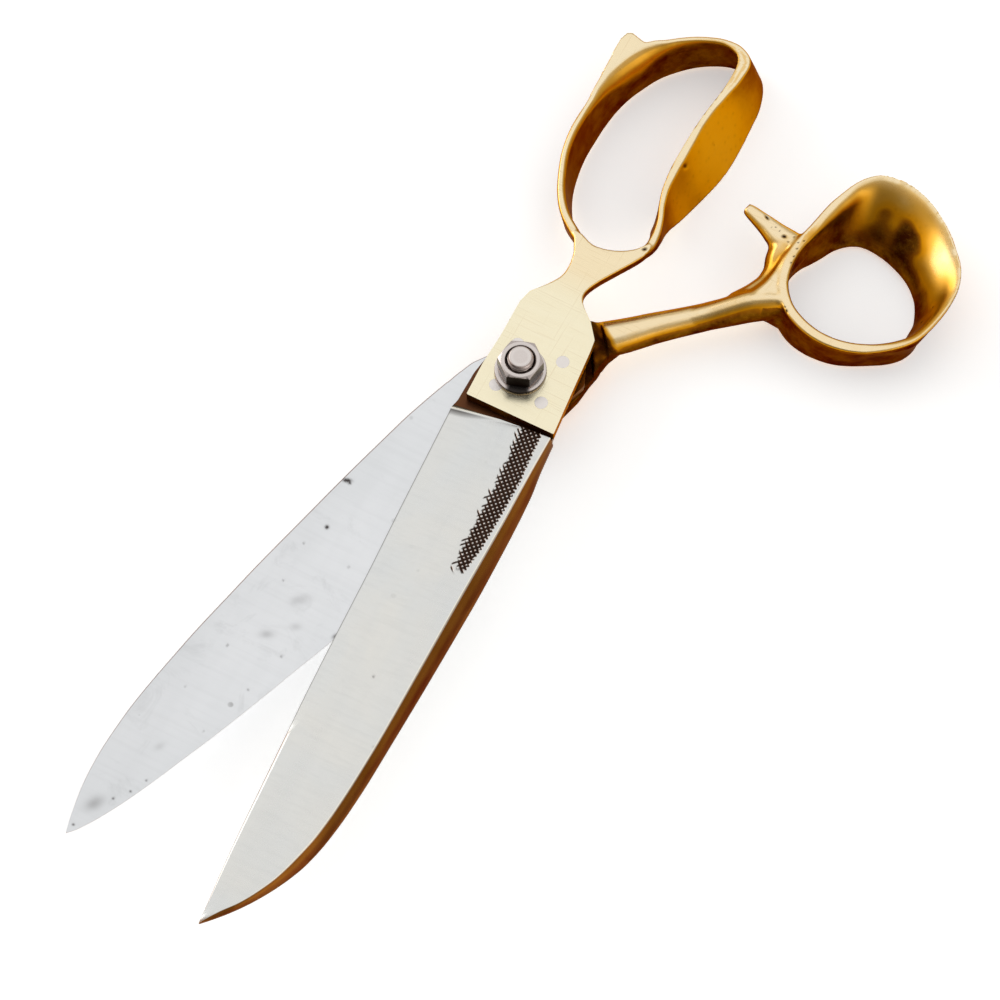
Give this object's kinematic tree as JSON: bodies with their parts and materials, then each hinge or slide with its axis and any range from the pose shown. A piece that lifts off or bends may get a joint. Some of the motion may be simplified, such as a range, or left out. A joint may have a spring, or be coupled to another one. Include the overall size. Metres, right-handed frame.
{
  "type": "tailor's shears",
  "caption": "Long tailor's shears: two steel blades riveted to cast brass handles, an oval finger bow and a flared thumb ring with a stop horn, turning on a bolt and nut.",
  "frame": {"origin": "on the pivot axis, at the outer face of the bolt head, which lies in the plane that the shears rest on together with the lower rims of both handles", "axes": "+Z along the pivot axis, up through the nut; the front blade points along -Y and the front finger bow lies towards +Y; the thumb ring is towards +X"},
  "size_m": [0.1192, 0.2543, 0.0231],
  "materials": {
    "blade_polished": "ground and polished outer face, checkered band along the back, bronze-brown bevelled back",
    "blade_satin": "flat ground inner face with small pits and stains",
    "brass_cast": "cast brass, hand filed and polished, darker in the bows",
    "rivet_steel": "filed flush with the plate",
    "fastener_steel": "bright machine-made nut, washer and bolt"
  },
  "bodies": {
    "front_half": {"front_blade": "blade_polished", "front_handle": "brass_cast", "front_rivet_1": "rivet_steel", "front_rivet_2": "rivet_steel", "front_rivet_3": "rivet_steel", "front_rivet_4": "rivet_steel", "pivot_bolt": "fastener_steel", "pivot_washer": "fastener_steel", "pivot_nut": "fastener_steel"},
    "rear_half": {"rear_blade": "blade_satin", "rear_handle": "brass_cast", "rear_rivet_1": "rivet_steel", "rear_rivet_2": "rivet_steel", "rear_rivet_3": "rivet_steel", "rear_rivet_4": "rivet_steel"}
  },
  "joints": [
    {"name": "pivot", "type": "hinge", "parent": "front_half", "child": "rear_half", "pos_m": [0, 0, 0.0093], "axis": [0, 0, -1], "range_deg": [-13.8, 55]}
  ]
}
